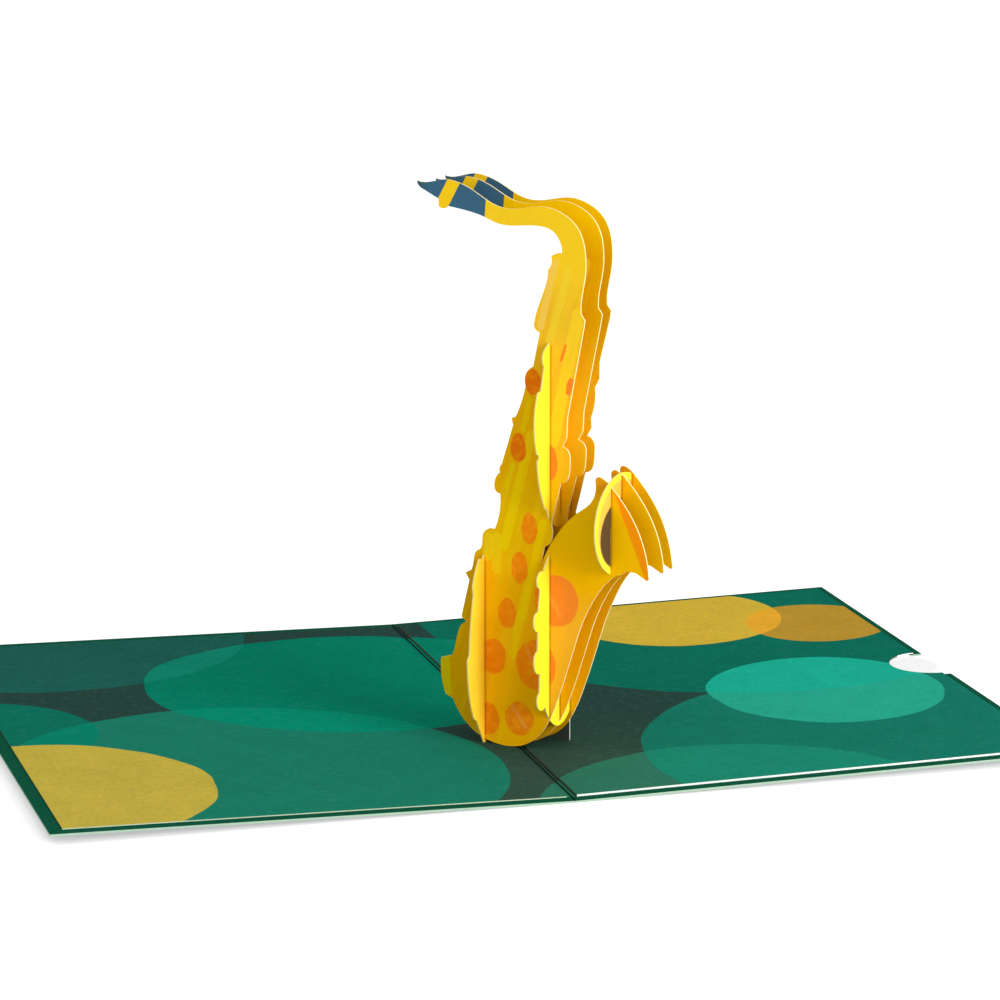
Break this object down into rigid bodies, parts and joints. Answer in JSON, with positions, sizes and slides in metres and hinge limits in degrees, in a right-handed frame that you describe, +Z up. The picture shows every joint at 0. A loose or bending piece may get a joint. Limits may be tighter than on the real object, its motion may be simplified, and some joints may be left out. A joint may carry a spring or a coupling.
{
  "type": "pop-up greeting card",
  "caption": "Pop-up greeting card lying open: a folded cover with printed liners, a note card in a pocket, and a standing saxophone of slotted paper sheets.",
  "frame": {"origin": "middle of the underside of the cover's spine", "axes": "+X across the open card to the right panel, with its thumb notch; +Y along the fold, away from the edge near the saxophone's mouthpiece; +Z up"},
  "size_m": [0.254, 0.1778, 0.1424],
  "materials": {
    "cover_paper": "matt dark green card",
    "printed_liner": "matt paper printed with green, teal and mustard circles",
    "white_paper": "matt white paper",
    "gold_print": "matt paper printed in gold with orange dots",
    "yellow_print": "matt paper printed in bright yellow and orange",
    "bell_print": "matt paper printed with a yellow ring round a brown centre"
  },
  "bodies": {
    "root": {"cover": "cover_paper", "liner_left": "printed_liner", "liner_right": "printed_liner", "note_card": "white_paper", "profile_front": "gold_print", "profile_middle": "gold_print", "profile_back": "gold_print", "slat_upper": "yellow_print", "slat_lower_left": "yellow_print", "slat_lower_right": "yellow_print", "bell_disc": "bell_print"}
  },
  "joints": []
}
